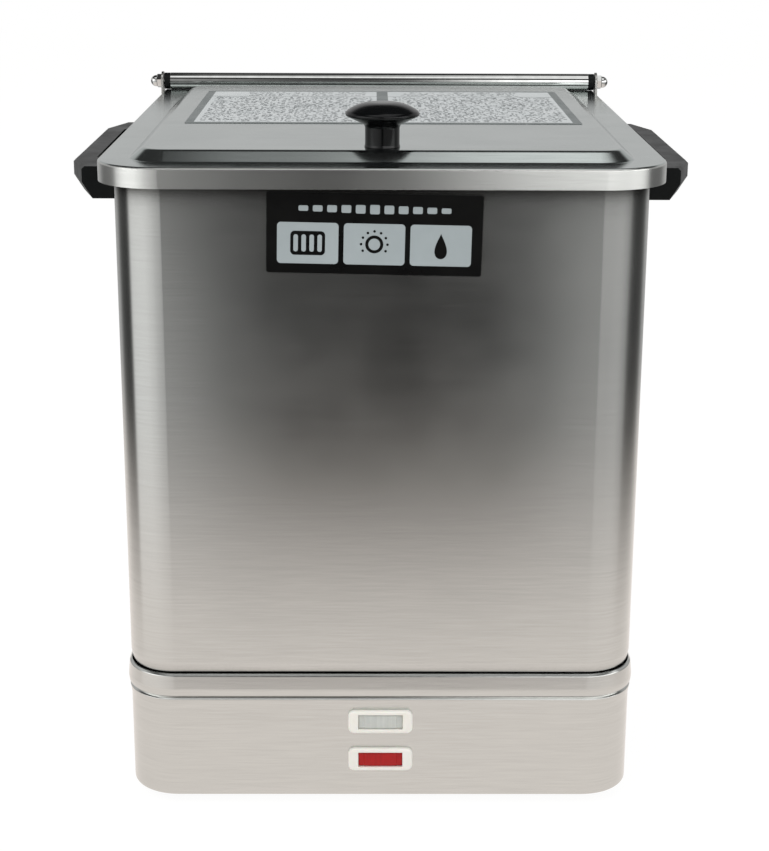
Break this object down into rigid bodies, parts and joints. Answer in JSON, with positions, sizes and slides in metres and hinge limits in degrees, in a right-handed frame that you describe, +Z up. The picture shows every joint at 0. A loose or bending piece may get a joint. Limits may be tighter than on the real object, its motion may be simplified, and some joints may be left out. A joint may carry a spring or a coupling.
{
  "type": "hot pack heating unit",
  "caption": "Box-shaped stainless water tank on a drawn base, with a hinged lid, side handles, signal lamps and a lift-out wire rack for hot packs.",
  "frame": {"origin": "under the middle of the whole outline, on the surface that the feet stand on", "axes": "+Z up, -Y to the front with the lamps and the lid's knob, +X to the right seen from the front"},
  "size_m": [0.39, 0.4144, 0.4385],
  "materials": {
    "brushed_sheet": "brushed stainless sheet",
    "plain_sheet": "mill-finish stainless sheet",
    "bright_steel": "polished stainless steel",
    "rack_wire": "electropolished stainless wire",
    "element_sheath": "dulled nickel alloy sheath",
    "brass": "turned brass",
    "rubber": "moulded rubber",
    "black_plastic": "moulded black phenolic",
    "gloss_black_plastic": "polished black phenolic",
    "white_plastic": "glazed ceramic white",
    "ivory_plastic": "moulded ivory plastic",
    "red_lens": "clear red moulded lens",
    "clear_lens": "frosted clear moulded lens",
    "black_label": "printed foil label",
    "silver_label": "printed foil label"
  },
  "bodies": {
    "housing": {"tank": "brushed_sheet", "base_shell": "brushed_sheet", "bottom_plate": "plain_sheet", "bottom_plate_screws": "bright_steel", "feet": "rubber", "foot_screws": "bright_steel", "hinge_rod": "bright_steel", "acorn_nuts": "bright_steel", "hinge_bracket_left": "plain_sheet", "hinge_bracket_right": "plain_sheet", "bracket_rivets": "bright_steel", "handle_left": "black_plastic", "handle_right": "black_plastic", "handle_washers": "bright_steel", "handle_screws": "bright_steel", "front_label": "black_label", "power_bezel": "ivory_plastic", "power_lens": "clear_lens", "power_lamp": "black_plastic", "heat_bezel": "ivory_plastic", "heat_lens": "red_lens", "heat_lamp": "black_plastic", "heating_element": "element_sheath", "element_fittings": "brass", "element_gaskets": "rubber", "element_nuts": "brass", "thermostat_bracket": "plain_sheet", "thermostat_body": "black_plastic", "thermostat_phial": "bright_steel", "phial_gland": "brass", "limit_thermostat": "black_plastic", "terminal_block": "white_plastic", "terminal_screws": "bright_steel", "earth_stud": "brass", "earth_nut": "brass", "cord_gland": "black_plastic"},
    "lid": {"lid": "brushed_sheet", "lid_label": "silver_label", "lid_knob": "gloss_black_plastic", "knob_washer": "bright_steel", "knob_screw": "bright_steel", "hinge_tube": "bright_steel", "hinge_bushes": "black_plastic"},
    "rack": {"rack_base": "rack_wire", "rack_dividers": "rack_wire", "rack_loops": "rack_wire"},
    "thermostat_dial": {"thermostat_dial": "gloss_black_plastic"}
  },
  "joints": [
    {"name": "lid_hinge", "type": "hinge", "parent": "housing", "child": "lid", "pos_m": [0, 0.2, 0.41057], "axis": [-1, 0, 0], "range_deg": [0, 100]},
    {"name": "rack_lift", "type": "slide", "parent": "housing", "child": "rack", "axis": [0, 0, 1], "range_m": [0, 0.028]},
    {"name": "thermostat_turn", "type": "hinge", "parent": "housing", "child": "thermostat_dial", "pos_m": [0.062, 0.0365, 0], "axis": [0, 0, 1], "range_deg": [0, 270]}
  ]
}
